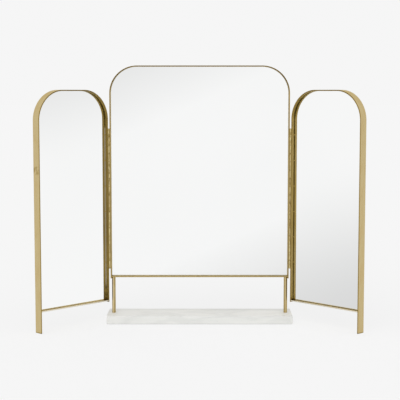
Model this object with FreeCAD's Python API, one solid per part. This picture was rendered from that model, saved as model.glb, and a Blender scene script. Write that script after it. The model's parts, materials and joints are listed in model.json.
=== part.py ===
import FreeCAD, Part
import os
from math import ceil

# Trifold vanity mirror: three strap-framed mirrors, the centre one on two posts and a marble slab,
# the wings on continuous hinges and on legs of their own. Millimetres. The origin is at the middle of
# the underside, +Z is up, and the mirrors look towards -Y.

V = FreeCAD.Vector

# ---- strap and bars ----
strap_depth = 25.0            # front to back
strap_thickness = 3.0
bar_thickness = 3.0
edge_ease = 0.4               # rounding of the strap's long edges

# ---- panels ----
panel_height = 600.0          # underside of the bottom bar to the top of the arch
centre_width = 508.0          # over the outer faces of the stiles
centre_corner_radius = 78.0   # outside of the bend
centre_bar_height = 127.4     # table to the underside of the centre's bottom bar
centre_stile_tail = 3.7       # stile below the bar
wing_width = 242.0
wing_corner_radius = 83.0
wing_bar_height = 59.2
wing_stile_tail = 2.5
wing_rest_angle = 45.0        # folded forward from flat

# ---- mirrors, backing boards and their tabs ----
mirror_recess = 8.5           # front edge of the strap to the glass
mirror_thickness = 4.0
mirror_side_gap = 0.5
board_thickness = 5.0
board_side_gap = 1.0
tab_width = 16.0
tab_thickness = 1.2
tab_strap_leg = 6.0
tab_board_leg = 12.0
tab_end_margin = 60.0         # first tab's middle to the panel's corner or bend
tab_pitch_limit = 260.0       # furthest apart that tabs sit
screw_diameter = 3.0
screw_head_diameter = 6.0
screw_head_height = 1.8
screw_bite = 4.0              # length in the board
screw_gap = 0.05              # all round the shank

# ---- continuous hinges ----
hinge_bottom = 152.5          # height of the lower end above the table
hinge_length = 398.5
knuckle_count = 17            # centre and wing knuckles take turns, the centre has both ends
knuckle_gap = 0.3             # between neighbouring knuckles
pin_diameter = 2.0
pin_gap = 0.05                # running fit, all round
leaf_thickness = 0.8
leaf_depth = 18.0             # pin axis to the leaf's rear edge
leaf_clearance = 0.3          # leaf to the other leaf's knuckles
stile_clearance = 0.35        # knuckle to each stile
rivet_diameter = 3.0
rivet_head_diameter = 4.6
rivet_setback = 10.0          # pin axis to the rivets
rivet_gap = 0.05
rivet_end_margin = 18.0
rivet_pitch_limit = 75.0

# ---- posts and base ----
post_diameter = 10.0
post_spigot_diameter = 6.0    # turned end that passes through the bottom bar
post_spigot_gap = 0.05
base_overhang = 9.0           # slab beyond the centre panel at each side
base_depth = 111.0
base_thickness = 22.0
base_arris = 0.8
pad_thickness = 1.0
pad_inset = 2.0
bolt_diameter = 6.0
bolt_gap = 0.05               # thread in the post
bolt_reach = 18.0             # length inside the post
bolt_head_flats = 10.0
bolt_head_height = 4.0
bolt_hole_diameter = 7.0      # through the slab
washer_diameter = 14.0
washer_thickness = 1.2
counterbore_diameter = 18.0
counterbore_depth = 8.0
post_hole_spare = 2.0         # threaded hole beyond the bolt's end

# ---- foot pads ----
foot_pad_thickness = 1.0
foot_pad_inset = 0.3

# ---- derived places ----
front_y = -strap_depth / 2
back_y = strap_depth / 2
mirror_front_y = front_y + mirror_recess
board_front_y = mirror_front_y + mirror_thickness
board_back_y = board_front_y + board_thickness
base_bottom_z = pad_thickness
base_top_z = base_bottom_z + base_thickness
centre_side_x = centre_width / 2
base_side_x = centre_side_x + base_overhang
knuckle_radius = pin_diameter / 2 + pin_gap + leaf_thickness
pin_x = centre_side_x + stile_clearance + knuckle_radius
wing_inner_x = pin_x + knuckle_radius + stile_clearance
wing_outer_x = wing_inner_x + wing_width
knuckle_pitch = hinge_length / knuckle_count
post_x = centre_side_x - strap_thickness - post_diameter / 2
pin_axis = V(pin_x, front_y, 0)


# ---- shared shapes ----
def box(x, y, z):
    """A box from three (low, high) pairs."""
    return Part.makeBox(x[1] - x[0], y[1] - y[0], z[1] - z[0], V(x[0], y[0], z[0]))


def rod(diameter, start, direction, length):
    return Part.makeCylinder(diameter / 2, length, start, direction)


def arch(x, z, radius, y):
    """A slab with square lower corners and rounded upper ones; x, z and y are (low, high) pairs."""
    (x0, x1), (z0, z1), (y0, y1) = x, z, y
    bend = radius * (1 - 0.5 ** 0.5)

    def at(px, pz):
        return V(px, y0, pz)

    edges = [
        Part.LineSegment(at(x0, z0), at(x0, z1 - radius)),
        Part.Arc(at(x0, z1 - radius), at(x0 + bend, z1 - bend), at(x0 + radius, z1)),
        Part.LineSegment(at(x0 + radius, z1), at(x1 - radius, z1)),
        Part.Arc(at(x1 - radius, z1), at(x1 - bend, z1 - bend), at(x1, z1 - radius)),
        Part.LineSegment(at(x1, z1 - radius), at(x1, z0)),
        Part.LineSegment(at(x1, z0), at(x0, z0)),
    ]
    outline = Part.Wire([edge.toShape() for edge in edges])
    return Part.Face(outline).extrude(V(0, y1 - y0, 0))


def spread(low, high, pitch_limit):
    """Evenly spaced places from low to high, no further apart than pitch_limit."""
    spaces = max(1, ceil((high - low) / pitch_limit))
    return [low + (high - low) * i / spaces for i in range(spaces + 1)]


def long_edges(shape):
    """The outer edges along a strap: those that lie in its front or back face."""
    faces = (front_y, back_y)
    return [e for e in shape.Edges
            if any(abs(e.BoundBox.YMin - y) < 1e-6 and abs(e.BoundBox.YMax - y) < 1e-6 for y in faces)]


def group(solids):
    return Part.makeCompound(solids)


# ---- frames ----
def strap_arch(x, z, radius):
    """A strap bent to an upside-down U. x and z are the (low, high) outside sizes."""
    t = strap_thickness
    outside = arch(x, z, radius, (front_y, back_y))
    inside = arch((x[0] + t, x[1] - t), (z[0] - t, z[1] - t), radius - t,
                  (front_y - t, back_y + t))
    return outside.cut(inside)


def rivet_heights():
    return spread(hinge_bottom + rivet_end_margin, hinge_bottom + hinge_length - rivet_end_margin,
                  rivet_pitch_limit)


def drill_for_rivets(frame, face_x, into):
    """Plain holes for the hinge rivets; face_x is the stile's outer face, into is -1 or +1."""
    for z in rivet_heights():
        start = V(face_x - into, front_y + rivet_setback, z)
        frame = frame.cut(rod(rivet_diameter + 2 * rivet_gap, start, V(into, 0, 0),
                              strap_thickness + 2))
    return frame


def centre_frame():
    z = (centre_bar_height - centre_stile_tail, centre_bar_height + panel_height)
    frame = strap_arch((-centre_side_x, centre_side_x), z, centre_corner_radius)
    frame = frame.makeFillet(edge_ease, long_edges(frame))
    for side in (-1, 1):
        frame = drill_for_rivets(frame, side * centre_side_x, -side)
    return frame


def wing_frame():
    """The right wing's frame, in line with the centre. Its outer stile is also its leg."""
    z = (foot_pad_thickness, wing_bar_height + panel_height)
    frame = strap_arch((wing_inner_x, wing_outer_x), z, wing_corner_radius)
    below_stile = box((wing_inner_x - 1, wing_inner_x + strap_thickness + 1),
                      (front_y - 1, back_y + 1),
                      (0, wing_bar_height - wing_stile_tail))
    frame = frame.cut(below_stile)
    frame = frame.makeFillet(edge_ease, long_edges(frame))
    return drill_for_rivets(frame, wing_inner_x, 1)


def bottom_bar(x0, x1, z0):
    """The bar between two stiles; x0 and x1 are the stiles' outer faces."""
    bar = box((x0 + strap_thickness, x1 - strap_thickness), (front_y, back_y),
              (z0, z0 + bar_thickness))
    along = [e for e in long_edges(bar) if e.BoundBox.XLength > 1]
    return bar.makeFillet(edge_ease, along)


def centre_bottom_bar():
    bar = bottom_bar(-centre_side_x, centre_side_x, centre_bar_height)
    for side in (-1, 1):
        hole = rod(post_spigot_diameter + 2 * post_spigot_gap,
                   V(side * post_x, 0, centre_bar_height - 1), V(0, 0, 1), bar_thickness + 2)
        bar = bar.cut(hole)
    return bar


# ---- mirrors, boards, tabs ----
class Panel:
    """The opening inside one strap frame: x0, x1 and top are its inner faces, floor the bar's top."""

    def __init__(self, x0, x1, bar_height, corner_radius):
        self.x0 = x0 + strap_thickness
        self.x1 = x1 - strap_thickness
        self.floor = bar_height + bar_thickness
        self.top = bar_height + panel_height - strap_thickness
        self.radius = corner_radius - strap_thickness

    def sheet(self, gap, y):
        """A sheet that fills the opening, gap short of the strap, standing on the bar."""
        return arch((self.x0 + gap, self.x1 - gap), (self.floor, self.top - gap),
                    self.radius - gap, y)

    def tab_places(self):
        """(x, z, turn about Y in degrees) of every tab: both stiles, the bar and the top."""
        stile = spread(self.floor + tab_end_margin, self.top - self.radius - tab_width,
                       tab_pitch_limit)
        across = spread(self.x0 + self.radius + tab_width, self.x1 - self.radius - tab_width,
                        tab_pitch_limit) if self.x1 - self.x0 > 4 * self.radius else \
            [(self.x0 + self.x1) / 2]
        places = [(self.x0, z, 0) for z in stile] + [(self.x1, z, 180) for z in stile]
        places += [(x, self.floor, -90) for x in across] + [(x, self.top, 90) for x in across]
        return places


def place(shape, x, z, turn):
    moved = shape.copy()
    moved.rotate(V(0, 0, 0), V(0, 1, 0), turn)
    moved.translate(V(x, 0, z))
    return moved


screw_x = tab_thickness + (tab_board_leg - tab_thickness) / 2


def tab():
    """An angle whose one leg lies on the strap at x = 0 and the other on the back of the board."""
    half = tab_width / 2
    angle = box((0, tab_thickness), (board_back_y, board_back_y + tab_strap_leg), (-half, half))
    angle = angle.fuse(box((0, tab_board_leg), (board_back_y, board_back_y + tab_thickness),
                           (-half, half))).removeSplitter()
    hole = rod(screw_diameter + 2 * screw_gap, V(screw_x, board_back_y - 1, 0), V(0, 1, 0),
               tab_thickness + 2)
    return angle.cut(hole)


def tab_screw():
    head_y = board_back_y + tab_thickness
    shank = rod(screw_diameter, V(screw_x, board_back_y - screw_bite, 0), V(0, 1, 0),
                screw_bite + tab_thickness)
    head = rod(screw_head_diameter, V(screw_x, head_y, 0), V(0, 1, 0), screw_head_height)
    rim = [e for e in head.Edges if abs(e.BoundBox.YMin - head_y - screw_head_height) < 1e-6]
    return shank.fuse(head.makeFillet(screw_head_height / 2, rim)).removeSplitter()


def pilot_hole():
    return rod(screw_diameter + 2 * screw_gap, V(screw_x, board_back_y - screw_bite, 0), V(0, 1, 0),
               screw_bite + 1)


def panel_insert(panel):
    """Mirror, backing board, tabs and tab screws of one panel."""
    mirror = panel.sheet(mirror_side_gap, (mirror_front_y, board_front_y))
    board = panel.sheet(board_side_gap, (board_front_y, board_back_y))
    for spot in panel.tab_places():
        board = board.cut(place(pilot_hole(), *spot))
    tabs = group([place(tab(), *spot) for spot in panel.tab_places()])
    screws = group([place(tab_screw(), *spot) for spot in panel.tab_places()])
    return {"mirror": mirror, "backing": board, "tabs": tabs, "tab_screws": screws}


# ---- hinges, at the right-hand side with the wing in line with the centre ----
def hinge_leaf(on_wing):
    """One leaf, flat on its stile, with every other knuckle round the pin."""
    if on_wing:
        plate_x = (wing_inner_x - leaf_thickness, wing_inner_x)
    else:
        plate_x = (centre_side_x, centre_side_x + leaf_thickness)
    top = hinge_bottom + hinge_length
    plate_y = front_y + knuckle_radius + leaf_clearance
    leaf = box(plate_x, (plate_y, front_y + leaf_depth), (hinge_bottom, top))
    pieces = []
    for i in range(knuckle_count):
        if (i % 2 == 1) != on_wing:
            continue
        low = hinge_bottom + i * knuckle_pitch + knuckle_gap / 2
        high = hinge_bottom + (i + 1) * knuckle_pitch - knuckle_gap / 2
        pieces.append(rod(2 * knuckle_radius, V(pin_x, front_y, low), V(0, 0, 1), high - low))
        pieces.append(box(plate_x, (front_y, plate_y + 1), (low, high)))
    leaf = leaf.multiFuse(pieces).removeSplitter()
    bore = rod(pin_diameter + 2 * pin_gap, V(pin_x, front_y, hinge_bottom - 1), V(0, 0, 1),
               hinge_length + 2)
    leaf = leaf.cut(bore)
    for z in rivet_heights():
        leaf = leaf.cut(rivet(on_wing, z, rivet_gap))
    return leaf


def rivet(on_wing, z, gap=0.0):
    """A countersunk rivet through leaf and strap, flush with both; gap makes the hole for it."""
    into = 1 if on_wing else -1
    face_x = wing_inner_x - leaf_thickness if on_wing else centre_side_x + leaf_thickness
    start = V(face_x, front_y + rivet_setback, z)
    shank = rod(rivet_diameter + 2 * gap, start, V(into, 0, 0), leaf_thickness + strap_thickness)
    head = Part.makeCone(rivet_head_diameter / 2 + gap, rivet_diameter / 2 + gap, leaf_thickness,
                         start, V(into, 0, 0))
    return shank.fuse(head).removeSplitter()


def rivets(on_wing):
    return group([rivet(on_wing, z) for z in rivet_heights()])


def hinge_pin():
    return rod(pin_diameter, V(pin_x, front_y, hinge_bottom), V(0, 0, 1), hinge_length)


# ---- posts and base ----
def post(side):
    """A rod with a turned spigot in the bottom bar and a threaded hole in its foot."""
    foot = V(side * post_x, 0, base_top_z)
    height = centre_bar_height - base_top_z
    body = rod(post_diameter, foot, V(0, 0, 1), height)
    spigot = rod(post_spigot_diameter, foot, V(0, 0, 1), height + bar_thickness)
    thread = rod(bolt_diameter + 2 * bolt_gap, foot, V(0, 0, 1), bolt_reach + post_hole_spare)
    return body.fuse(spigot).removeSplitter().cut(thread)


def hexagon(across_flats, low, height, x):
    corner = V(across_flats / 3 ** 0.5, 0, 0)
    points = [FreeCAD.Rotation(V(0, 0, 1), 60 * i).multVec(corner) for i in range(7)]
    face = Part.Face(Part.makePolygon([p + V(x, 0, low) for p in points]))
    return face.extrude(V(0, 0, height))


def washer_top():
    return base_bottom_z + counterbore_depth


def post_bolt(side):
    head_top = washer_top() - washer_thickness
    x = side * post_x
    head = hexagon(bolt_head_flats, head_top - bolt_head_height, bolt_head_height, x)
    shank = rod(bolt_diameter, V(x, 0, head_top), V(0, 0, 1), base_top_z + bolt_reach - head_top)
    return head.fuse(shank).removeSplitter()


def post_washer(side):
    foot = V(side * post_x, 0, washer_top() - washer_thickness)
    disc = rod(washer_diameter, foot, V(0, 0, 1), washer_thickness)
    return disc.cut(rod(bolt_hole_diameter, foot, V(0, 0, 1), washer_thickness))


def marble_base():
    half_y = base_depth / 2
    slab = box((-base_side_x, base_side_x), (-half_y, half_y), (base_bottom_z, base_top_z))
    rim = [e for e in slab.Edges if e.BoundBox.ZMax > base_bottom_z + base_arris]
    slab = slab.makeFillet(base_arris, rim)
    for side in (-1, 1):
        foot = V(side * post_x, 0, base_bottom_z)
        slab = slab.cut(rod(bolt_hole_diameter, foot, V(0, 0, 1), base_thickness))
        slab = slab.cut(rod(counterbore_diameter, foot, V(0, 0, 1), counterbore_depth))
    return slab


def base_felt_pad():
    half_x, half_y = base_side_x - pad_inset, base_depth / 2 - pad_inset
    pad = box((-half_x, half_x), (-half_y, half_y), (0, pad_thickness))
    for side in (-1, 1):
        pad = pad.cut(rod(counterbore_diameter, V(side * post_x, 0, 0), V(0, 0, 1), pad_thickness))
    return pad


def foot_pad():
    inset = foot_pad_inset
    return box((wing_outer_x - strap_thickness + inset, wing_outer_x - inset),
               (front_y + inset, back_y - inset), (0, foot_pad_thickness))


# ---- the whole object ----
def mirrored(shape):
    """The left-hand twin of a right-hand piece."""
    return shape.mirror(V(0, 0, 0), V(1, 0, 0))


def folded(shape):
    """A right-hand wing piece turned forward about the hinge pin to the rest angle."""
    turned = shape.copy()
    turned.rotate(pin_axis, V(0, 0, 1), -wing_rest_angle)
    return turned


def stand_pieces():
    panel = Panel(-centre_side_x, centre_side_x, centre_bar_height, centre_corner_radius)
    pieces = {
        "marble_base": marble_base(),
        "base_felt_pad": base_felt_pad(),
        "left_post": post(-1),
        "right_post": post(1),
        "post_bolts": group([post_bolt(side) for side in (-1, 1)]),
        "post_washers": group([post_washer(side) for side in (-1, 1)]),
        "centre_frame": centre_frame(),
        "centre_bottom_bar": centre_bottom_bar(),
    }
    pieces.update({"centre_" + name: shape for name, shape in panel_insert(panel).items()})
    for name, shape in (("hinge_centre_leaf", hinge_leaf(False)), ("hinge_pin", hinge_pin()),
                        ("hinge_centre_rivets", rivets(False))):
        pieces["right_" + name] = shape
        pieces["left_" + name] = mirrored(shape)
    return pieces


def wing_pieces():
    panel = Panel(wing_inner_x, wing_outer_x, wing_bar_height, wing_corner_radius)
    right = {
        "wing_frame": wing_frame(),
        "wing_bottom_bar": bottom_bar(wing_inner_x, wing_outer_x, wing_bar_height),
        "foot_pad": foot_pad(),
        "hinge_wing_leaf": hinge_leaf(True),
        "hinge_wing_rivets": rivets(True),
    }
    right.update({"wing_" + name: shape for name, shape in panel_insert(panel).items()})
    pieces = {}
    for name, shape in right.items():
        pieces["right_" + name] = folded(shape)
        pieces["left_" + name] = mirrored(folded(shape))
    return pieces


os.makedirs("parts", exist_ok=True)
for node, piece in {**stand_pieces(), **wing_pieces()}.items():
    piece.exportStep("parts/" + node + ".step")
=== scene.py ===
import json
from math import atan2, pi, radians

import bmesh
import bpy
from mathutils import Matrix, Vector


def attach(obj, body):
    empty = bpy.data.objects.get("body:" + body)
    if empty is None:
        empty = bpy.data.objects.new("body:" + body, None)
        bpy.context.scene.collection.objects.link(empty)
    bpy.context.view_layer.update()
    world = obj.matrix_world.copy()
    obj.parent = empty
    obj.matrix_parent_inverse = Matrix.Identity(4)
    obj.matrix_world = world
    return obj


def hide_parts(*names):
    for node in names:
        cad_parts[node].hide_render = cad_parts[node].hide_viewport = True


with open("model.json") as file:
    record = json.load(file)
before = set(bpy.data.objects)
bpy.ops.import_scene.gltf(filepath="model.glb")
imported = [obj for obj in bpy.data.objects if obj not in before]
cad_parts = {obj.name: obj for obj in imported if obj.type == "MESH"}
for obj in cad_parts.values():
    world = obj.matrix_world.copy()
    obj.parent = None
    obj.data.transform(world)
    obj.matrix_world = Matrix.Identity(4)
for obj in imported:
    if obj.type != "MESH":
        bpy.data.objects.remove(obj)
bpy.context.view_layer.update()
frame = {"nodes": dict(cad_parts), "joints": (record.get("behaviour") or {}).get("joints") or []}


# ---- marble base ----
# A slab of white marble, sawn to size and honed, its edges left square. Its weight keeps the mirror
# upright, and two counterbores in its underside take the bolts of the posts.
bed_turn = (0.15, 0.06, 0.12)  # how the stone's layers lie in the slab
bed_stretch = (0.35, 1, 1.3)
cloud_size = 0.09
wide_vein_spacing = 0.10
thin_vein_spacing = 0.03
marble_grain = 0.0009


class Signal:
    """A value that runs through a node tree. Arithmetic on it adds Math nodes."""

    def __init__(self, nodes, socket):
        self.nodes = nodes
        self.socket = socket

    def also(self, output):
        """Another output of the node that this value comes from."""
        return Signal(self.nodes, self.socket.node.outputs[output])

    def math(self, operation, *values):
        return self.nodes.node("ShaderNodeMath", {"operation": operation}, dict(enumerate(values)))

    def __add__(self, other):
        return self.math("ADD", self, other)

    def __radd__(self, other):
        return self.math("ADD", other, self)

    def __sub__(self, other):
        return self.math("SUBTRACT", self, other)

    def __rsub__(self, other):
        return self.math("SUBTRACT", other, self)

    def __mul__(self, other):
        return self.math("MULTIPLY", self, other)

    def __rmul__(self, other):
        return self.math("MULTIPLY", other, self)

    def __truediv__(self, other):
        return self.math("DIVIDE", self, other)

    def __rtruediv__(self, other):
        return self.math("DIVIDE", other, self)

    def __pow__(self, other):
        return self.math("POWER", self, other)

    def __rpow__(self, other):
        return self.math("POWER", other, self)

    def __abs__(self):
        return self.math("ABSOLUTE", self)

    def rise(self, start, end):
        """0 up to start, 1 from end on, and a smooth slope between them."""
        return self.nodes.node("ShaderNodeMapRange", {"interpolation_type": "SMOOTHSTEP"},
                               {"Value": self, "From Min": start, "From Max": end})


class Nodes:
    """A node tree under construction. node() adds a node and gives back its output."""

    def __init__(self, tree):
        self.tree = tree

    def node(self, kind, settings=None, sockets=None, output=0):
        """Adds a node of a type: its settings, then the values or links of its sockets."""
        node = self.tree.nodes.new(kind)
        for name, value in (settings or {}).items():
            setattr(node, name, value)
        for key, value in (sockets or {}).items():
            if isinstance(value, Signal):
                self.tree.links.new(value.socket, node.inputs[key])
            else:
                node.inputs[key].default_value = value
        if len(node.outputs):
            return Signal(self, node.outputs[output])

    def part(self, vector, axis):
        """One coordinate of a vector."""
        return self.node("ShaderNodeSeparateXYZ", {}, {"Vector": vector}, output=axis)


class Finish(Nodes):
    """A material's node tree, with the steps that most finishes share."""

    def __init__(self, name):
        self.material = bpy.data.materials.new(name)
        self.material.use_nodes = True
        self.material.node_tree.nodes.clear()
        super().__init__(self.material.node_tree)

    def place(self, turn=(0, 0, 0)):
        """The point's own place on the piece, turned for a pattern."""
        point = self.node("ShaderNodeTexCoord", output="Object")
        return self.stretched(point, (1, 1, 1), turn)

    def stretched(self, point, scale, turn=(0, 0, 0)):
        """A point scaled for a pattern: a share below 1 draws the pattern out that way."""
        return self.node("ShaderNodeMapping", {},
                         {"Vector": point, "Scale": scale, "Rotation": turn})

    def stored(self, name, output="Fac"):
        """What the piece's recipe stored on its points under a name."""
        return self.node("ShaderNodeAttribute", {"attribute_name": name}, output=output)

    def noise(self, point, size, detail=2.0, distortion=0.0):
        """Soft random clouds, each about size metres across, from 0 to 1."""
        return self.node("ShaderNodeTexNoise", {},
                         {"Vector": point, "Scale": 1 / size, "Detail": detail,
                          "Distortion": distortion})

    def mix(self, share, first, second):
        """Two colours mixed: first where share is 0, second where it is 1."""
        settings = {"data_type": "RGBA", "clamp_factor": True}
        return self.node("ShaderNodeMix", settings, {0: share, 6: first, 7: second}, output=2)

    def bump(self, height, depth):
        """A normal for a surface whose height, from 0 to 1, stands for depth metres."""
        return self.node("ShaderNodeBump", {}, {"Height": height, "Distance": depth})

    def done(self, **surface):
        """Closes the material with one Principled surface and gives it back."""
        sockets = {name.replace("_", " "): value for name, value in surface.items()}
        shader = self.node("ShaderNodeBsdfPrincipled", {}, sockets)
        self.node("ShaderNodeOutputMaterial", {}, {"Surface": shader})
        return self.material


def paint(material, *nodes):
    """Gives CAD nodes their finish."""
    for name in nodes:
        for slot in frame["nodes"][name].material_slots:
            slot.material = material


def veins(noise, sharpness):
    """1 on the lines along which a noise passes its middle, falling to 0 beside them."""
    return (1 - abs(noise - 0.5) * sharpness).rise(0, 1)


def honed_marble():
    white = (0.790, 0.792, 0.765, 1)
    shade = (0.755, 0.760, 0.735, 1)
    vein = (0.64, 0.65, 0.63, 1)
    stone = Finish("honed marble")
    point = stone.place(turn=bed_turn)
    bed = stone.stretched(point, bed_stretch)
    clouds = stone.noise(bed, cloud_size, detail=6, distortion=0.5)
    drift = stone.noise(bed, wide_vein_spacing, detail=6, distortion=0.8)
    hair = stone.noise(bed, thin_vein_spacing, detail=4, distortion=0.6)
    wide_veins = veins(drift, 16) * 0.34
    thin_veins = veins(hair, 60) * 0.4 * clouds.rise(0.45, 0.65)
    ground = stone.mix(clouds.rise(0.35, 0.75), white, shade)
    colour = stone.mix(wide_veins + thin_veins, ground, vein)
    grains = stone.noise(point, marble_grain, detail=2)
    return stone.done(Base_Color=colour, Roughness=0.42 + 0.14 * grains - 0.06 * clouds,
                      Normal=stone.bump(grains, 0.00003), Specular_IOR_Level=0.35)


paint(honed_marble(), "marble_base")


# ---- felt under the base ----
# A sheet of pale wool felt, cut a little smaller than the slab and glued to it, so that the stone
# does not scratch the table.
def wool_felt():
    wool = Finish("wool felt")
    point = wool.place()
    fibres = wool.noise(wool.stretched(point, (1, 1, 4)), 0.0011, detail=5, distortion=2.5)
    tufts = wool.noise(point, 0.009, detail=3)
    colour = wool.mix(fibres * 0.7 + tufts * 0.3, (0.50, 0.50, 0.48, 1), (0.74, 0.74, 0.71, 1))
    return wool.done(Base_Color=colour, Roughness=0.95, Normal=wool.bump(fibres, 0.0003),
                     Sheen_Weight=0.4)


paint(wool_felt(), "base_felt_pad")


# ---- bolts and washers ----
# Zinc-plated hexagon bolts reach up through the slab into the threaded feet of the posts, each with
# a plain washer in its counterbore.
flake_scale = 900.0           # flakes of the zinc to a metre


def zinc_plate():
    bright = (0.56, 0.58, 0.60, 1)
    dull = (0.36, 0.38, 0.40, 1)
    zinc = Finish("zinc plate")
    point = zinc.place()
    flakes = zinc.node("ShaderNodeTexVoronoi", {}, {"Vector": point, "Scale": flake_scale})
    clouds = zinc.noise(point, 0.004, detail=4)
    scratches = zinc.noise(zinc.stretched(point, (1, 9, 2)), 0.0012, detail=2)
    colour = zinc.mix(clouds * 0.7 + flakes * 0.3, bright, dull)
    return zinc.done(Base_Color=colour, Metallic=1.0, Roughness=0.30 + 0.16 * clouds,
                     Normal=zinc.bump(scratches, 0.00002))


zinc = zinc_plate()
paint(zinc, "post_bolts", "post_washers")


# ---- posts ----
# Two round brass rods, their lower ends tapped for the bolts and their upper ends turned down to
# spigots that pass through the bottom bar of the centre frame. They are brushed lengthwise.
post_x = 0.246                # middle of each post
outer_shade_rise = (0.055, 0.075)       # between these heights the painted shade on a post's outer side comes in fully; below them it is weaker
plain_brass = (0.610, 0.492, 0.262, 1)
# A lighter copy of the plain brass, for the left post: painted highlight.
highlit_brass = (0.78, 0.65, 0.39, 1)


def satin_brass(metal, point, patina_and_shade, frost_and_highlight=0.0, bright=plain_brass):
    """Satin brass. The grain runs along z of point. Patina and painted shade go from 0, bright, to
    1, dark. A second share tells how far the brass turns pale: where the ground edge of a glass
    hides it, and as a painted highlight on the front edge of a wing bar."""
    warm = (0.585, 0.451, 0.223, 1)
    brown = (0.330, 0.228, 0.062, 1)
    dark = (0.060, 0.038, 0.006, 1)
    ground_glass_and_highlight = (0.86, 0.85, 0.80, 1)
    grain = metal.noise(metal.stretched(point, (1, 1, 0.012)), 0.0004, detail=3)
    cast = metal.noise(metal.stretched(point, (1, 1, 0.25)), 0.012, detail=4, distortion=0.6)
    brass = metal.mix(cast.rise(0.35, 0.7), bright, warm)
    darkness = patina_and_shade + (cast - 0.5) * 0.12 * patina_and_shade.rise(0.02, 0.3) + (grain - 0.5) * 0.05
    browned = metal.mix(darkness * 2, brass, brown)
    colour = metal.mix(frost_and_highlight, metal.mix(darkness * 2 - 1, browned, dark), ground_glass_and_highlight)
    return metal.done(Base_Color=colour, Metallic=1.0, Specular_Tint=(0.84, 0.78, 0.60, 1),
                      Roughness=0.25 + 0.08 * grain + 0.06 * cast + 0.06 * patina_and_shade,
                      Normal=metal.bump(grain, 0.000006))


def rod_brass(name, facing_wing, facing_middle, bright):
    """Bright along the middle of the rod and browner on both sides: painted reflection and shade.
    Each side is given by the two distances from the rod's axis between which its painted shade
    comes in, and by its share."""
    metal = Finish(name)
    point = metal.place()
    outward = abs(metal.part(point, "X")) - post_x
    drift = metal.noise(metal.stretched(point, (1, 1, 0.4)), 0.02, detail=3)
    # The side facing the wing carries painted reflection and shade, weaker near the slab; the side
    # facing the middle carries less.
    outer_shade_height = 1 - 0.6 * (1 - metal.part(point, "Z").rise(*outer_shade_rise))
    near, far, share = facing_wing
    outer = outward.rise(near, far) * (1 + 0.6 * drift) * outer_shade_height * share
    near, far, share = facing_middle
    inner = (outward * -1).rise(near, far) * share
    return satin_brass(metal, point, outer + inner + drift.rise(0.5, 0.9) * 0.1, bright=bright)


paint(rod_brass("left post brass", (0.0024, 0.0034, 0.95), (-0.0004, 0.0006, 0.34), highlit_brass),
      "left_post")
paint(rod_brass("right post brass", (0.0006, 0.0030, 0.55), (0.0008, 0.0032, 0.34), plain_brass),
      "right_post")


# ---- centre frame ----
# One 25 x 3 mm brass strap, bent twice to an upside-down U and brushed along its length. A straight
# bar of the same strap is brazed in between the stiles and carries the glass.
strap_thickness = 0.003
strap_depth = 0.025
eased_edge = 0.0004
ease_steps = 3
bend_steps = 40
centre_bend_radius = 0.078
glass_setback = 0.0085        # front edge of the strap to the glass
glass_front = strap_depth / 2 - glass_setback  # forward of the strap's middle
recess_back = glass_front - 0.003  # the strap is seen as far back as this, beside the glass
recess_fade = 0.0005
pane_step = 0.0004            # half the width in which its patina and painted shade change at the glass
pane_reach = 0.0025           # the bends carry more painted shade up to here in front of the glass
upright_panel = Matrix.Identity(4)
face_fade = (0.0003, 0.0001)  # a face's finish comes in between these depths under it
edge_fade = (0.0007, 0.0003)
foot_shadow = (0.0015, 0.0045)    # painted contact shadow at the foot of a leg fades out between these heights
smudge_fade = 0.008
nowhere = (9, 10)             # beyond the end of every strap


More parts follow.
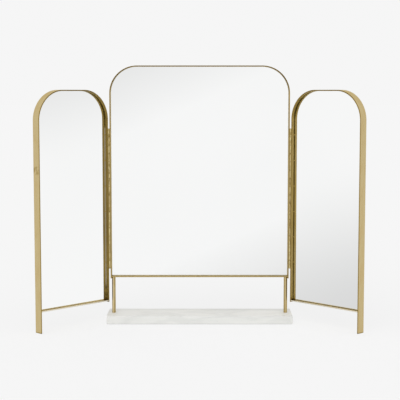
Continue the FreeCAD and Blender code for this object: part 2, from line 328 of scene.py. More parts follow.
class Recipe(Nodes):
    """A Geometry Nodes tree under construction, with named inputs for its sizes."""

    def __init__(self, name, sizes, takes_points=False):
        super().__init__(bpy.data.node_groups.new(name, "GeometryNodeTree"))
        self.socket("Geometry", "OUTPUT", "Geometry")
        if takes_points:
            self.socket("Points", "INPUT", "Geometry")
        for size in sizes:
            self.socket(size, "INPUT", "Int" if size == "Count" else "Float")
        self.given = self.node("NodeGroupInput")

    def socket(self, name, way, kind):
        self.tree.interface.new_socket(name, in_out=way, socket_type="NodeSocket" + kind)

    def size(self, name):
        return self.given.also(name)

    def vector(self, x=0.0, y=0.0, z=0.0):
        return self.node("ShaderNodeCombineXYZ", {}, {"X": x, "Y": y, "Z": z})

    def kept(self, geometry, name, value, kind="FLOAT"):
        """Stores a value on every point under a name that a material can read."""
        return self.node("GeometryNodeStoreNamedAttribute", {"data_type": kind, "domain": "POINT"},
                         {"Geometry": geometry, "Name": name, "Value": value})

    def rounded_path(self, corners, steps, radius):
        """An open path through four points, with its corners rounded."""
        path = self.node("GeometryNodeCurvePrimitiveQuadrilateral", {"mode": "POINTS"},
                         {f"Point {i}": corner for i, corner in enumerate(corners, 1)})
        path = self.node("GeometryNodeSetSplineCyclic", {}, {"Geometry": path, "Cyclic": False})
        return self.node("GeometryNodeFilletCurve", {"mode": "POLY"},
                         {"Curve": path, "Count": steps, "Radius": radius})

    def strap(self, path, thickness, depth, ease):
        """Sweeps a strap with eased edges along a flat path, its depth along z."""
        section = self.node("GeometryNodeCurvePrimitiveQuadrilateral", {},
                            {"Width": thickness, "Height": depth})
        section = self.node("GeometryNodeFilletCurve", {"mode": "POLY"},
                            {"Curve": section, "Count": ease_steps, "Radius": ease})
        section = self.kept(section, "section", self.node("GeometryNodeInputPosition"),
                            "FLOAT_VECTOR")
        path = self.node("GeometryNodeSetCurveNormal", {"mode": "Z_UP"}, {"Curve": path})
        run = self.node("GeometryNodeSplineParameter", output="Length")
        path = self.kept(path, "along", run)
        heading = self.part(self.node("GeometryNodeInputTangent"), "X")
        path = self.kept(path, "level", abs(heading))
        return self.node("GeometryNodeCurveToMesh", {},
                         {"Curve": path, "Profile Curve": section, "Fill Caps": True})

    def moved(self, geometry, z):
        return self.node("GeometryNodeTransform", {},
                         {"Geometry": geometry, "Translation": self.vector(z=z)})

    def tilted(self, geometry, angle):
        return self.node("GeometryNodeTransform", {},
                         {"Geometry": geometry, "Rotation": (angle, 0, 0)})

    def upright(self, geometry):
        """Stands flat work up: its y becomes height and its upper side the front."""
        return self.tilted(geometry, pi / 2)

    def joined(self, first, second):
        both = self.node("GeometryNodeJoinGeometry", {}, {"Geometry": first})
        self.tree.links.new(second.socket, both.socket.node.inputs["Geometry"])
        return both

    def repeated(self, piece, points, turn=0.0):
        """Puts a piece on every point, turned about the y axis."""
        return self.node("GeometryNodeInstanceOnPoints", {},
                         {"Points": points, "Instance": piece, "Rotation": self.vector(y=turn)})

    def done(self, geometry, material, smooth=True):
        geometry = self.node("GeometryNodeRealizeInstances", {}, {"Geometry": geometry})
        geometry = self.node("GeometryNodeSetShadeSmooth", {},
                             {"Geometry": geometry, "Shade Smooth": smooth})
        geometry = self.node("GeometryNodeSetMaterial", {},
                             {"Geometry": geometry, "Material": material})
        self.node("NodeGroupOutput", {}, {"Geometry": geometry})
        return self.tree


def made(tree, name, place, points=None, **sizes):
    """Runs a tree once, keeps its result as a plain mesh, and puts it where it belongs."""
    piece = bpy.data.objects.new(name, points or bpy.data.meshes.new(name))
    bpy.context.scene.collection.objects.link(piece)
    recipe = piece.modifiers.new("recipe", "NODES")
    recipe.node_group = tree
    for item in tree.interface.items_tree:
        key = item.name.replace(" ", "_")
        if item.in_out == "INPUT" and key in sizes:
            recipe[item.identifier] = sizes[key]
    piece.modifiers.new("even shading", "WEIGHTED_NORMAL")
    finished = piece.evaluated_get(bpy.context.evaluated_depsgraph_get())
    mesh = bpy.data.meshes.new_from_object(finished)
    if mesh.materials[0] is None:       # a tree's own cylinders and cubes bring an empty slot
        mesh.materials.pop(index=0)
    piece.modifiers.clear()
    piece.data = mesh
    mesh.transform(place)
    return piece


def corners_in(place, node):
    """The corners of a CAD node's mesh in a panel's own frame."""
    back = place.inverted()
    return [back @ vertex.co for vertex in frame["nodes"][node].data.vertices]


def span(points):
    """Lowest and highest corners of the box round some points."""
    return [Vector(map(pick, zip(*points))) for pick in (min, max)]


def fitted(piece, body, slot, *nodes):
    """Hangs a finished piece on its body, in place of the CAD nodes it stands for."""
    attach(piece, body)
    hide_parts(*nodes)


class StrapSurface:
    """Where a point lies on a strap: its place in the straightened strap, how far along it, and how
    far inward and forward from the middle of the section. Each side is 1 there and 0 elsewhere.
    The patina and painted shade drift slowly along it."""

    def __init__(self, metal):
        section = metal.stored("section", "Vector")
        back = metal.part(section, "Y")
        self.along = metal.stored("along")
        self.inward = metal.part(section, "X")
        self.forward = back * -1
        self.point = metal.node("ShaderNodeCombineXYZ", {},
                                {"X": self.inward, "Y": back, "Z": self.along})
        self.drift = metal.noise(metal.stretched(self.point, (1, 1, 0.2)), 0.02, detail=3)

    def side(self, distance, reach, fade):
        start, end = fade
        return distance.rise(reach - start, reach - end)

    def inner_face(self):
        return self.side(self.inward, strap_thickness / 2, face_fade)

    def outer_face(self):
        return self.side(self.inward * -1, strap_thickness / 2, face_fade)

    def front_edge(self):
        return self.side(self.forward, strap_depth / 2, edge_fade)


def strap_brass(name, in_recess, by_glass, edges, frost_and_highlight=0.0, dirt_and_shade=(0, 0.001), darker_above=nowhere,
                smudge=nowhere):
    """Bright outside and brown in the recess, darkest where a bend meets the glass: painted shade
    and reflection. The front edge has its own painted shade upright, level and bent. Beside the
    glass the strap shows through its ground edge, clear or frosted. Dirt and painted shade in the
    lower corner fade out between two heights, and the strap beside the glass turns darker higher
    up. The outside is smudged between two lengths along it, and painted with contact shadow at the
    foot."""
    metal = Finish(name)
    strap = StrapSurface(metal)
    forward, front_edge = strap.forward, strap.front_edge()
    recess = strap.inner_face() * forward.rise(recess_back - recess_fade, recess_back)
    by_pane = 1 - forward.rise(glass_front - pane_step, glass_front + pane_step)
    towards_pane = 1 - forward.rise(glass_front, glass_front + pane_reach)
    crumbs = metal.noise(metal.stretched(strap.point, (1, 1, 0.6)), 0.006, detail=2)
    level = metal.stored("level")
    bend = level * (1 - level) * 4
    height = metal.part(metal.place(), "Z")
    # Low down, the corner holds dirt and painted shade.
    corner_dirt_and_shade, darker_higher_up = 1 - height.rise(*dirt_and_shade), height.rise(*darker_above)

    # Painted shade and reflection in the recess, stronger beside the glass and on the bends.
    straight = (0.8 + 0.4 * strap.drift) * in_recess
    straight = straight + by_pane * (0.7 + 0.6 * strap.drift) * by_glass
    # Higher up, the strap beside the glass is darker and loses the pale ground edge.
    straight = straight + darker_higher_up * by_pane * 0.22
    bent = 0.60 + towards_pane * 0.7
    patina_and_shade = recess * (straight * (1 - bend) + bent * bend + corner_dirt_and_shade * crumbs.rise(0.4, 0.6) * 0.25)

    # Painted shade on the front edge, set by which way it faces: upright, level and bent.
    upright_edge, level_edge, bent_edge = edges
    edge = upright_edge + level * (level_edge - upright_edge) + bend * bent_edge
    patina_and_shade = patina_and_shade + front_edge * (1 - recess) * edge

    near, far = smudge
    touched = strap.along.rise(near, near + smudge_fade)
    touched = touched * (1 - strap.along.rise(far - smudge_fade, far))
    touched = touched * strap.outer_face() * crumbs.rise(0.40, 0.62)
    # A smudge on the outside, and painted contact shadow at the foot of a leg.
    patina_and_shade = patina_and_shade + touched * 0.30 + (1 - height.rise(*foot_shadow)) * 0.45

    frost = recess * by_pane * (1 - corner_dirt_and_shade) * (1 - darker_higher_up) ** 2 * (1 - bend) * frost_and_highlight
    return satin_brass(metal, strap.point, patina_and_shade, frost)


def bent_strap(material):
    """A strap bent over two rounded corners, with a foot of its own length at each side."""
    work = Recipe("bent strap", ["Left", "Right", "Top", "Left Foot", "Right Foot", "Bend Radius",
                                 "Thickness", "Depth", "Eased Edge"])
    half = work.size("Thickness") * 0.5
    left, right = work.size("Left") + half, work.size("Right") - half
    top = work.size("Top") - half
    path = work.rounded_path((work.vector(left, work.size("Left Foot")), work.vector(left, top),
                              work.vector(right, top), work.vector(right, work.size("Right Foot"))),
                             bend_steps, work.size("Bend Radius") - half)
    swept = work.strap(path, work.size("Thickness"), work.size("Depth"), work.size("Eased Edge"))
    return work.done(work.upright(swept), material)


def straight_strap(name, material):
    work = Recipe(name, ["Left", "Right", "Height", "Thickness", "Depth", "Eased Edge"])
    middle = work.size("Height") + work.size("Thickness") * 0.5
    path = work.node("GeometryNodeCurvePrimitiveLine", {},
                     {"Start": work.vector(work.size("Right"), middle),
                      "End": work.vector(work.size("Left"), middle)})
    swept = work.strap(path, work.size("Thickness"), work.size("Depth"), work.size("Eased Edge"))
    return work.done(work.upright(swept), material)


centre_frame = bent_strap(strap_brass("bent brass strap", 0.40, 0.46, (0.40, 0.72, 0.25)))
centre_bar = straight_strap("centre bar",
                            strap_brass("centre bar brass", 0.78, 0.06, (0.28, 0.28, 0), 0.24))


def strap_frame(panel, body, place, bend_radius, frame_recipe, bar_recipe):
    """The bent strap and the bottom bar of one panel. A stile ends where its CAD node's does."""
    strap = {"Thickness": strap_thickness, "Depth": strap_depth, "Eased_Edge": eased_edge}
    corners = corners_in(place, panel + "_frame")
    low, high = span(corners)
    bent = made(frame_recipe, panel + "_bent_strap", place, Left=low.x, Right=high.x, Top=high.z,
                Left_Foot=min(at.z for at in corners if at.x < low.x + strap_thickness),
                Right_Foot=min(at.z for at in corners if at.x > high.x - strap_thickness),
                Bend_Radius=bend_radius, **strap)
    fitted(bent, body, "brass", panel + "_frame")
    low, high = span(corners_in(place, panel + "_bottom_bar"))
    bar = made(bar_recipe, panel + "_straight_strap", place, Left=low.x, Right=high.x, Height=low.z,
               **strap)
    fitted(bar, body, "brass", panel + "_bottom_bar")


strap_frame("centre", "stand", upright_panel, centre_bend_radius, centre_frame, centre_bar)


# ---- centre mirror and its board ----
# Silvered float glass, 4 mm thick, stands on the bottom bar with a painted fibreboard behind it.
# What shines is the silver on its back, which the glass makes look 1.4 mm nearer than it is. The
# piece begins where that silver seems to lie.
glass_thickness = 0.004
glass_side_gap = 0.0005
board_side_gap = 0.001
refraction = 1.52
apparent_depth = glass_thickness / refraction
apparent_spread = 0.0004      # the ground edge carries the silver's shine this far out
weld_distance = 0.00001
wipe_slant = (0, 0.5, 0)      # how the strokes of the cleaning cloth lean


def silvered_glass():
    glass = Finish("silvered glass")
    point = glass.place()
    film = glass.noise(point, 0.35, detail=2)
    wipe = glass.noise(glass.stretched(point, (1, 1, 0.3), wipe_slant), 0.03, detail=3)
    colour = glass.mix(film.rise(0.3, 0.7), (0.988, 0.992, 0.990, 1), (0.976, 0.982, 0.980, 1))
    return glass.done(Base_Color=colour, Metallic=1.0, Roughness=0.010 * wipe.rise(0.4, 0.8))


def painted_fibreboard():
    board = Finish("painted fibreboard")
    point = board.place()
    fibres = board.noise(board.stretched(point, (1, 1, 0.6)), 0.0016, detail=6, distortion=1.5)
    roller = board.noise(board.stretched(point, (1, 1, 0.15)), 0.015, detail=3)
    colour = board.mix(fibres * 0.6 + roller * 0.4, (0.018, 0.017, 0.016, 1),
                       (0.045, 0.042, 0.038, 1))
    return board.done(Base_Color=colour, Roughness=0.55 + 0.25 * fibres,
                      Normal=board.bump(fibres * 0.7 + roller * 0.3, 0.0002))


def arched_sheet(name, material):
    """A sheet with two rounded upper corners that stands on a straight foot."""
    work = Recipe(name, ["Left", "Right", "Foot", "Top", "Bend Radius", "Front", "Back"])
    left, right = work.size("Left"), work.size("Right")
    foot, top = work.size("Foot"), work.size("Top")
    outline = work.rounded_path((work.vector(left, foot), work.vector(left, top),
                                 work.vector(right, top), work.vector(right, foot)),
                                bend_steps, work.size("Bend Radius"))
    outline = work.node("GeometryNodeSetSplineCyclic", {}, {"Geometry": outline, "Cyclic": True})
    face = work.node("GeometryNodeFillCurve", {"mode": "NGONS"}, {"Curve": outline})
    face = work.moved(face, work.size("Back") * -1)
    thick = work.size("Back") - work.size("Front")
    front = work.node("GeometryNodeExtrudeMesh", {"mode": "FACES"},
                      {"Mesh": face, "Offset": work.vector(z=1.0), "Offset Scale": thick})
    back = work.node("GeometryNodeFlipFaces", {}, {"Mesh": face})
    sheet = work.node("GeometryNodeMergeByDistance", {},
                      {"Geometry": work.joined(front, back), "Distance": weld_distance})
    return work.done(work.upright(sheet), material, smooth=False)


mirror_recipe = arched_sheet("mirror glass", silvered_glass())
board_recipe = arched_sheet("backing board", painted_fibreboard())


def glazing(panel, body, place, bend_radius):
    """The mirror and the backing board of one panel."""
    for part, name, recipe, slot, gap, setback, spread in (
            ("_mirror", "_glass", mirror_recipe, "mirror", glass_side_gap, apparent_depth,
             apparent_spread),
            ("_backing", "_board", board_recipe, "backing_board", board_side_gap, 0, 0)):
        low, high = span(corners_in(place, panel + part))
        piece = made(recipe, panel + name, place, Left=low.x - spread, Right=high.x + spread,
                     Foot=low.z, Top=high.z + spread, Front=low.y + setback, Back=high.y,
                     Bend_Radius=bend_radius - strap_thickness - gap + spread)
        fitted(piece, body, slot, panel + part)


glazing("centre", "stand", upright_panel, centre_bend_radius)


# ---- retaining tabs of the centre mirror ----
# Small zinc-plated steel angles. One leg is soldered to the inside of the strap, the other presses
# on the back of the board and takes a screw.
tab_width = 0.016
tab_thickness = 0.0012
tab_strap_leg = 0.006
tab_board_leg = 0.012
tab_corner_radius = 0.0012
tab_bend_steps = 6
tab_ease = 0.00015
tab_snap = 0.002              # a tab's direction is told in steps of this
same_place = 0.000001         # corners closer than this are one
same_plane = 0.00001


def solids(node, place):
    """Lowest and highest corners and the points of each separate solid of a CAD node."""
    bm = bmesh.new()
    bm.from_mesh(frame["nodes"][node].data)
    bmesh.ops.remove_doubles(bm, verts=bm.verts, dist=same_place)
    bm.transform(place.inverted())
    left = dict.fromkeys(bm.verts)
    found = []
    while left:
        reached = [left.popitem()[0]]
        points = []
        while reached:
            vertex = reached.pop()
            points.append(vertex.co.copy())
            for edge in vertex.link_edges:
                other = edge.other_vert(vertex)
                if other in left:
                    del left[other]
                    reached.append(other)
        low, high = span(points)
        found.append((low, high, points))
    bm.free()
    return sorted(found, key=lambda solid: [round(value, 4) for value in solid[0]])


def point_mesh(name, places):
    mesh = bpy.data.meshes.new(name)
    mesh.from_pydata(places, [], [])
    return mesh


def tab_spots(panel, place):
    """A point on the strap for each tab, and the turn that lays its board leg over the board."""
    spots = []
    for low, high, points in solids(panel + "_tabs", place):
        rear = [point for point in points if point.y > high.y - same_plane]
        strap_leg = sum(rear, Vector()) / len(rear)
        inward = ((low + high) / 2 - strap_leg) / tab_snap
        inward = Vector((round(inward.x), 0, round(inward.z))).normalized()
        foot = strap_leg - inward * tab_thickness / 2
        spots.append(((foot.x, low.y, foot.z), atan2(-inward.z, inward.x)))
    mesh = point_mesh(panel + " tab spots", [spot for spot, turn in spots])
    mesh.attributes.new("turn", "FLOAT", "POINT").data.foreach_set(
        "value", [turn for spot, turn in spots])
    return mesh


def retaining_tabs():
    work = Recipe("retaining tabs", ["Width", "Thickness", "Strap Leg", "Board Leg",
                                     "Corner Radius"], takes_points=True)
    half, rear = work.size("Thickness") * 0.5, work.size("Strap Leg")
    path = work.rounded_path((work.vector(half, rear), work.vector(half, rear * 0.5),
                              work.vector(half, half), work.vector(work.size("Board Leg"), half)),
                             tab_bend_steps, work.size("Corner Radius"))
    angle = work.strap(path, work.size("Thickness"), work.size("Width"), tab_ease)
    turn = work.node("GeometryNodeInputNamedAttribute", {"data_type": "FLOAT"}, {"Name": "turn"})
    return work.done(work.repeated(angle, work.size("Points"), turn), zinc)


tab_recipe = retaining_tabs()


def tabs(panel, body, place):
    piece = made(tab_recipe, panel + "_retaining_tabs", place, tab_spots(panel, place),
                 Width=tab_width, Thickness=tab_thickness, Strap_Leg=tab_strap_leg,
                 Board_Leg=tab_board_leg, Corner_Radius=tab_corner_radius)
    fitted(piece, body, "steel", panel + "_tabs")


tabs("centre", "stand", upright_panel)


# ---- tab screws of the centre mirror ----
# Zinc-plated pan-head wood screws with a cross recess, driven through the tabs into the board. No
# two stop at the same angle.
screw_head_radius = 0.003
screw_head_height = 0.0018
screw_shank_radius = 0.0015
screw_bite = 0.004
recess_depth = 0.0011
recess_width = 0.0007
recess_span = 0.0034
second_recess = 0.95          # share of the first one's depth, so that no faces coincide
head_fall = 0.6               # share of its height that the head falls towards its rim
head_sides = 28
head_rings = 6
shank_sides = 16
spin_seed = 5


def pan_head_screws():
    work = Recipe("pan head screws", ["Head Radius", "Head Height", "Shank Radius", "Bite",
                                      "Recess Depth", "Recess Width", "Recess Span",
                                      "Tab Thickness"], takes_points=True)
    radius, height = work.size("Head Radius"), work.size("Head Height")
    head = work.node("GeometryNodeMeshCylinder", {},
                     {"Vertices": head_sides, "Side Segments": 1, "Fill Segments": head_rings,
                      "Radius": radius, "Depth": height})
    x, y, z = (work.part(work.node("GeometryNodeInputPosition"), axis) for axis in "XYZ")
    out = ((x * x + y * y) / (radius * radius)) ** 2
    top = z.math("GREATER_THAN", z, 0)
    head = work.node("GeometryNodeSetPosition", {},
                     {"Geometry": head, "Offset": work.vector(z=top * out * height * -head_fall)})
    head = work.moved(head, height * 0.5)
    for length, width, share in (("Recess Span", "Recess Width", 1.0),
                                 ("Recess Width", "Recess Span", second_recess)):
        slot = work.node("GeometryNodeMeshCube", {},
                         {"Size": work.vector(work.size(length), work.size(width),
                                              work.size("Recess Depth") * (2 * share))})
        head = work.node("GeometryNodeMeshBoolean", {"operation": "DIFFERENCE"},
                         {"Mesh 1": head, "Mesh 2": work.moved(slot, height)})
    length = work.size("Bite") + work.size("Tab Thickness")
    shank = work.node("GeometryNodeMeshCylinder", {},
                      {"Vertices": shank_sides, "Radius": work.size("Shank Radius"),
                       "Depth": length})
    screw = work.tilted(work.joined(head, work.moved(shank, length * -0.5)), -pi / 2)
    spin = work.node("FunctionNodeRandomValue", {"data_type": "FLOAT"},
                     {2: 0.0, 3: pi / 2, "Seed": spin_seed}, output=1)
    return work.done(work.repeated(screw, work.size("Points"), spin), zinc, smooth=False)


screw_recipe = pan_head_screws()


def tab_screws(panel, body, place):
    seats = [((low.x + high.x) / 2, high.y - screw_head_height, (low.z + high.z) / 2)
             for low, high, points in solids(panel + "_tab_screws", place)]
    piece = made(screw_recipe, panel + "_pan_head_screws", place,
                 point_mesh(panel + " screw seats", seats), Head_Radius=screw_head_radius,
                 Head_Height=screw_head_height, Shank_Radius=screw_shank_radius, Bite=screw_bite,
                 Recess_Depth=recess_depth, Recess_Width=recess_width, Recess_Span=recess_span,
                 Tab_Thickness=tab_thickness)
    fitted(piece, body, "steel", panel + "_tab_screws")


tab_screws("centre", "stand", upright_panel)


# ---- continuous hinges, the centre's half ----
# Each hinge is two leaves of brass strip whose edges are rolled in turn round one brass pin, so
# that their knuckles mesh. The leaves lie flat between the stiles and are held by countersunk
# rivets, filed flush.
hinge_bottom = 0.1525
hinge_length = 0.3985
knuckle_count = 17
knuckle_pitch = hinge_length / knuckle_count
knuckle_gap = 0.0003
leaf_thickness = 0.0008
leaf_depth = 0.018
leaf_ease = 0.0001
leaf_offset = 0.0018          # pin axis to the middle of the leaf
leaf_start = 0.00215          # pin axis to the leaf's near edge, clear of other knuckles
link_lap = 0.0004             # each knuckle's link starts this far inside the leaf
link_share = 0.2              # share of a knuckle's strip that is its straight link
roll_radius = 0.00145         # pin axis to the middle of the rolled strip
roll_sweep = radians(285)
roll_steps = 32
rivet_radius = 0.0015
rivet_head_radius = 0.0023
rivet_proud = 0.00003         # the file leaves this much of each end
gap_shade_reach = 0.0015          # painted shade reaches this far from the end of a knuckle
worn_brass = (0.85, 0.74, 0.40, 1)


def hinge_brass():
    """Bright where hands and the other leaf rub it, with painted shade at the ends of each knuckle,
    where it meets the next.
    """
    metal = Finish("hinge brass")
    point = metal.place()
    lengthwise = abs(metal.part(metal.stored("section", "Vector"), "Y"))
    end = (knuckle_pitch - knuckle_gap) / 2
    gap_shade = metal.stored("knuckle") * lengthwise.rise(end - gap_shade_reach, end)
    worn = metal.noise(metal.stretched(point, (1, 1, 0.35)), 0.005, detail=3)
    return satin_brass(metal, point, gap_shade * 0.35 + worn.rise(0.45, 0.65) * 0.36, bright=worn_brass)


def rolled_leaf():
    work = Recipe("rolled hinge leaf", ["Side", "First Height", "Count", "Pitch", "Gap",
                                        "Thickness", "Roll Radius", "Roll Sweep", "Leaf Offset",
                                        "Leaf Start", "Leaf Depth", "Bottom", "Length"])
    side, offset = work.size("Side"), work.size("Leaf Offset")
    start, roll = work.size("Leaf Start"), work.size("Roll Radius")
    line = work.node("GeometryNodeCurvePrimitiveLine", {}, {"End": (1, 0, 0)})
    line = work.node("GeometryNodeResampleCurve", {}, {"Curve": line, "Count": roll_steps})
    run = work.node("GeometryNodeSplineParameter", output="Factor")
    straight = run.math("MINIMUM", run / link_share, 1)
    turned = run.math("MAXIMUM", run - link_share, 0) / (1 - link_share) * work.size("Roll Sweep")
    x = (offset - roll) * (1 - straight) + roll * turned.math("COSINE", turned)
    y = (start + link_lap) * (1 - straight) - roll * turned.math("SINE", turned)
    line = work.node("GeometryNodeSetPosition", {},
                     {"Geometry": line, "Position": work.vector(side * x, y)})
    knuckle = work.strap(line, work.size("Thickness"), work.size("Pitch") - work.size("Gap"),
                         leaf_ease)
    knuckle = work.kept(knuckle, "knuckle", 1.0)
    rows = work.node("GeometryNodeMeshLine", {"mode": "OFFSET"},
                     {"Count": work.size("Count"),
                      "Start Location": work.vector(z=work.size("First Height")),
                      "Offset": work.vector(z=work.size("Pitch") * 2)})
    path = work.node("GeometryNodeCurvePrimitiveLine", {},
                     {"Start": work.vector(side * offset, start),
                      "End": work.vector(side * offset, work.size("Leaf Depth"))})
    plate = work.strap(path, work.size("Thickness"), work.size("Length"), leaf_ease)
    plate = work.moved(plate, work.size("Bottom") + work.size("Length") * 0.5)
    return work.done(work.joined(work.repeated(knuckle, rows), plate), hinge_brass())


def unpolished_shaded_brass():
    """The pins and rivets, which nobody polishes. They are also darker as painted shade, to match
    the shaded recess in which the rivet ends show.
    """
    metal = Finish("brass, unpolished")
    point = metal.place()
    drift = metal.noise(point, 0.004, detail=3)
    return satin_brass(metal, point, 0.35 + 0.3 * drift)


hidden_brass = unpolished_shaded_brass()


def countersunk_rivets():
    work = Recipe("countersunk rivets", ["Turn", "Shank Radius", "Head Radius", "Head Depth",
                                         "Length", "Proud"], takes_points=True)
    proud, deep = work.size("Proud"), work.size("Head Depth")
    upper, lower = deep * -0.5, (work.size("Length") + proud) * -1
    shank = work.node("GeometryNodeMeshCylinder", {},
                      {"Vertices": head_sides, "Radius": work.size("Shank Radius"),
                       "Depth": upper - lower})
    head = work.node("GeometryNodeMeshCone", {},
                     {"Vertices": head_sides, "Radius Top": work.size("Head Radius"),
                      "Radius Bottom": work.size("Shank Radius"), "Depth": deep + proud})
    rivet = work.joined(work.moved(head, deep * -1), work.moved(shank, (upper + lower) * 0.5))
    return work.done(work.repeated(rivet, work.size("Points"), work.size("Turn")), hidden_brass)


leaf_recipe, rivet_recipe = rolled_leaf(), countersunk_rivets()


def pin_of(joint):
    hinge = next(j for j in frame["joints"] if j["name"] == joint)
    return Matrix.Translation((hinge["pos_m"][0], hinge["pos_m"][1], 0))


def hinge_leaf(name, body, place, toward, first, node):
    """toward is +1 or -1, the side of the pin on which the leaf's own stile stands, and first is
    the number of the leaf's lowest knuckle, counted from 0."""
    piece = made(leaf_recipe, name, place, Side=toward,
                 First_Height=hinge_bottom + (first + 0.5) * knuckle_pitch,
                 Count=(knuckle_count + 1 - first) // 2, Pitch=knuckle_pitch, Gap=knuckle_gap,
                 Thickness=leaf_thickness, Roll_Radius=roll_radius, Roll_Sweep=roll_sweep,
                 Leaf_Offset=leaf_offset, Leaf_Start=leaf_start, Leaf_Depth=leaf_depth,
                 Bottom=hinge_bottom, Length=hinge_length)
    fitted(piece, body, "brass", node)


def flush_rivets(name, body, place, toward, node):
    """The heads lie in the leaf and face the pin, and the shanks go through the stile."""
    rivets = solids(node, place)
    heads = [(low.x if toward > 0 else high.x, (low.y + high.y) / 2, (low.z + high.z) / 2)
             for low, high, points in rivets]
    low, high, points = rivets[-1]
    piece = made(rivet_recipe, name, place, point_mesh(name + " heads", heads),
                 Turn=-toward * pi / 2, Length=high.x - low.x, Shank_Radius=rivet_radius,
                 Head_Radius=rivet_head_radius, Head_Depth=leaf_thickness, Proud=rivet_proud)
    fitted(piece, body, "brass", node)


for side, toward in (("left", 1.0), ("right", -1.0)):
    pin = pin_of(side + "_wing_hinge")
    hinge_leaf(side + "_rolled_centre_leaf", "stand", pin, toward, 0, side + "_hinge_centre_leaf")
    flush_rivets(side + "_flush_centre_rivets", "stand", pin, toward, side + "_hinge_centre_rivets")
    paint(hidden_brass, side + "_hinge_pin")


# ---- wings ----
# Each wing is a narrower panel of the same make, hung on its hinge. Its outer stile runs down past
# the bottom bar as a leg, which stands on a small pad of clear nylon.
wing_angle = radians(45)      # each wing stands folded forward by this much
wing_bend_radius = 0.083
bar_glass_shade = (0.001, 0.005)  # the painted shade along the foot of the glass ends between these distances in front of it


def nylon():
    pad = Finish("clear nylon")
    grain = pad.noise(pad.place(), 0.0008, detail=3)
    colour = pad.mix(grain, (0.62, 0.62, 0.58, 1), (0.72, 0.72, 0.69, 1))
    return pad.done(Base_Color=colour, Roughness=0.45 + 0.1 * grain)


def bar_brass(name, glass_foot_shade):
    """Brown along the foot of the glass: painted shade. Pale on the front edge: a painted
    highlight.
    """
    metal = Finish(name)
    strap = StrapSurface(metal)
    top = strap.inner_face()
    near, far = bar_glass_shade
    by_glass = top * (1 - strap.forward.rise(glass_front + near, glass_front + far))
    # The front edge is painted pale: a painted highlight.
    return satin_brass(metal, strap.point, by_glass * (0.8 + 0.4 * strap.drift) * glass_foot_shade,
                       strap.front_edge() * (1 - top) * 0.62)


foot_finish = nylon()
wing_frames = {
    "left": bent_strap(strap_brass("left wing brass", 0.72, 0.0, (0.48, 0.72, 0), 0.20,
                                   dirt_and_shade=(0.090, 0.118), darker_above=(0.548, 0.562),
                                   smudge=(0.428, 0.458))),
    "right": bent_strap(strap_brass("right wing brass", 0.42, 0.54, (0.48, 0.72, 0),
                                    dirt_and_shade=(0.062, 0.080)))}
wing_bars = {"left": straight_strap("left wing bar", bar_brass("left bar brass", 0.64)),
             "right": straight_strap("right wing bar", bar_brass("right bar brass", 0.92))}
for side, toward in (("left", -1.0), ("right", 1.0)):
    wing = side + "_wing"
    pin = pin_of(wing + "_hinge")
    fold = Matrix.Rotation(-toward * wing_angle, 4, "Z")
    place = pin @ fold @ pin.inverted()
    strap_frame(wing, wing, place, wing_bend_radius, wing_frames[side], wing_bars[side])
    glazing(wing, wing, place, wing_bend_radius)
    tabs(wing, wing, place)
    tab_screws(wing, wing, place)
    hinge_leaf(side + "_rolled_wing_leaf", wing, pin @ fold, toward, 1, side + "_hinge_wing_leaf")
    flush_rivets(side + "_flush_wing_rivets", wing, pin @ fold, toward, side + "_hinge_wing_rivets")
    paint(foot_finish, side + "_foot_pad")


# ---- floor, light and camera ----
# A pale floor under an even sky, with a wide soft lamp high in front. The camera stands on the
# middle line, a little above the mirrors' middle, and looks slightly down.
floor_white = 0.92            # also the tone of the sky behind the object
floor_radius = 60.0
floor_sides = 96
floor_gain = 0.017            # reflections show the floor brighter by this share
shadow_share = 0.16           # how much of the object's shadow the floor shows
sky_light = 0.85
mirrored_tone = 0.935         # the sky and the cards in metal and glass
lamp_light = 0.76
lamp_height = radians(43)
lamp_turn = radians(-20)
lamp_spread = radians(60)
side_card_x = 0.10
side_card_near, side_card_far, side_card_top = -0.02, -0.27, 0.85
edge_on = (0.04, 0.10)        # a side card shows only to rays that meet it this squarely
scrim_y, scrim_half, scrim_top = -0.27, 0.50, 0.90
scrim_corners = (-0.249, 0.714), (0.263, 0.087)
scrim_reaches = (0.46, 0.20), (0.43, 0.185)
scrim_side_fade, scrim_foot_fade, scrim_top_fade = (0.30, 0.48), (0.0, 0.08), (0.75, 0.88)
scrim_share = 0.125           # of the light, where the scrim is densest
camera_place = (0.0010, -3.1286, 0.6494)
camera_tilt = radians(5.512)
camera_lens = 99.39
camera_sensor = 36.0


def ray_kinds(nodes):
    """Two signals: 1 for camera rays, and 1 for rays reflected by gloss or sent on by glass."""
    camera_ray = nodes.node("ShaderNodeLightPath", output="Is Camera Ray")
    gloss = camera_ray.also("Is Glossy Ray") + camera_ray.also("Is Transmission Ray")
    return camera_ray, gloss.math("MINIMUM", gloss, 1)


def standing(name, mesh):
    item = bpy.data.objects.new(name, mesh)
    bpy.context.scene.collection.objects.link(item)
    return item


def floor():
    bm = bmesh.new()
    bmesh.ops.create_circle(bm, cap_ends=True, segments=floor_sides, radius=floor_radius)
    mesh = bpy.data.meshes.new("floor")
    bm.to_mesh(mesh)
    bm.free()
    chalk = Finish("pale floor")
    white = (floor_white, floor_white, floor_white, 1)
    camera_ray, gloss_ray = ray_kinds(chalk)
    lit = chalk.node("ShaderNodeBsdfDiffuse", {}, {"Color": white})
    even = chalk.node("ShaderNodeEmission", {},
                      {"Color": white, "Strength": 1 + gloss_ray * floor_gain})
    share = (camera_ray + gloss_ray) * (1 - shadow_share)
    mixed = chalk.node("ShaderNodeMixShader", {}, {0: share, 1: lit, 2: even})
    chalk.node("ShaderNodeOutputMaterial", {}, {"Surface": mixed})
    mesh.materials.append(chalk.material)
    standing("floor", mesh)


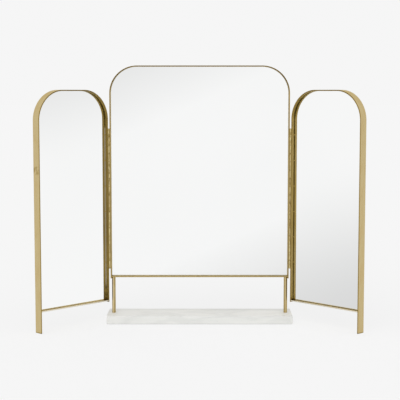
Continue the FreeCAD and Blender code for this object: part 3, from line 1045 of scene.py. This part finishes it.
def sky():
    world = bpy.data.worlds.new("studio")
    bpy.context.scene.world = world
    world.use_nodes = True
    world.node_tree.nodes.clear()
    studio = Nodes(world.node_tree)
    camera_ray, gloss_ray = ray_kinds(studio)
    strength = (sky_light + camera_ray * (floor_white - sky_light)
                + gloss_ray * (mirrored_tone - sky_light))
    light = studio.node("ShaderNodeBackground", {},
                        {"Color": (1, 1, 1, 1), "Strength": strength})
    studio.node("ShaderNodeOutputWorld", {}, {"Surface": light})


def lamp():
    light = bpy.data.lights.new("front lamp", "SUN")
    light.energy = lamp_light
    light.angle = lamp_spread
    holder = bpy.data.objects.new("front lamp", light)
    bpy.context.scene.collection.objects.link(holder)
    holder.rotation_euler = (pi / 2 - lamp_height, 0, lamp_turn)


def card(name, corners, material):
    """A flat card that only reflections see."""
    mesh = bpy.data.meshes.new(name)
    mesh.from_pydata(corners, [], [(0, 1, 2, 3)])
    mesh.materials.append(material)
    item = standing(name, mesh)
    for kind in ("camera", "diffuse", "shadow", "transmission", "volume_scatter"):
        setattr(item, "visible_" + kind, False)


def left_card_tone(depth, height):
    """Darker towards the top."""
    return mirrored_tone - 0.165 * (height - depth * 0.35).rise(0.48, 0.85)


def right_card_tone(depth, height):
    """Darker towards the foot."""
    return mirrored_tone - 0.23 * (1 - (height + depth * 0.3).rise(-0.10, 0.42))


def side_card(side, tone):
    """Stands between the wings, so that each wing mirrors a plain pale surface head-on."""
    x, near, far, top = side_card_x * side, side_card_near, side_card_far, side_card_top
    paper = Finish("side card")
    point = paper.place()
    shade = tone(paper.part(point, "Y"), paper.part(point, "Z"))
    grey = paper.node("ShaderNodeCombineColor", {}, {"Red": shade, "Green": shade, "Blue": shade})
    glow = paper.node("ShaderNodeEmission", {}, {"Color": grey})
    clear = paper.node("ShaderNodeBsdfTransparent")
    slant = paper.node("ShaderNodeLayerWeight", {}, {"Blend": 0.5}, output="Facing")
    mixed = paper.node("ShaderNodeMixShader", {}, {0: slant.rise(*edge_on), 1: glow, 2: clear})
    paper.node("ShaderNodeOutputMaterial", {}, {"Surface": mixed})
    card("side card", [(x, near, 0), (x, far, 0), (x, far, top), (x, near, top)], paper.material)


def front_scrim():
    """A veil in front of the centre mirror, denser towards its upper left and lower right: painted
    shade in the mirror's reflection.
    """
    y, half, top = scrim_y, scrim_half, scrim_top
    veil = Finish("front scrim")
    point = veil.place()
    x, z = veil.part(point, "X"), veil.part(point, "Z")

    def towards(across, down, reach):
        share = 1 - across / reach[0] - down / reach[1]
        return share.math("MAXIMUM", share, 0)

    (left, upper), (right, lower) = scrim_corners
    dense = (towards(x - left, upper - z, scrim_reaches[0])
             + towards(right - x, z - lower, scrim_reaches[1]))
    faded = dense.math("MINIMUM", dense, 1) * (1 - abs(x).rise(*scrim_side_fade))
    faded = faded * z.rise(*scrim_foot_fade) * (1 - z.rise(*scrim_top_fade))
    clear = veil.node("ShaderNodeBsdfTransparent", {}, {"Color": (1, 1, 1, 1)})
    thread = veil.node("ShaderNodeBsdfTransparent", {}, {"Color": (0, 0, 0, 1)})
    mixed = veil.node("ShaderNodeMixShader", {}, {0: faded * scrim_share, 1: clear, 2: thread})
    veil.node("ShaderNodeOutputMaterial", {}, {"Surface": mixed})
    card("front scrim", [(-half, y, 0), (half, y, 0), (half, y, top), (-half, y, top)],
         veil.material)


def camera():
    eye = bpy.data.cameras.new("camera")
    eye.sensor_width = camera_sensor
    eye.lens = camera_lens
    holder = bpy.data.objects.new("camera", eye)
    bpy.context.scene.collection.objects.link(holder)
    holder.location = camera_place
    holder.rotation_euler = (pi / 2 - camera_tilt, 0, 0)
    bpy.context.scene.camera = holder


floor()
sky()
lamp()
side_card(-1, left_card_tone)
side_card(1, right_card_tone)
front_scrim()
camera()
bpy.context.scene.view_settings.view_transform = "Standard"
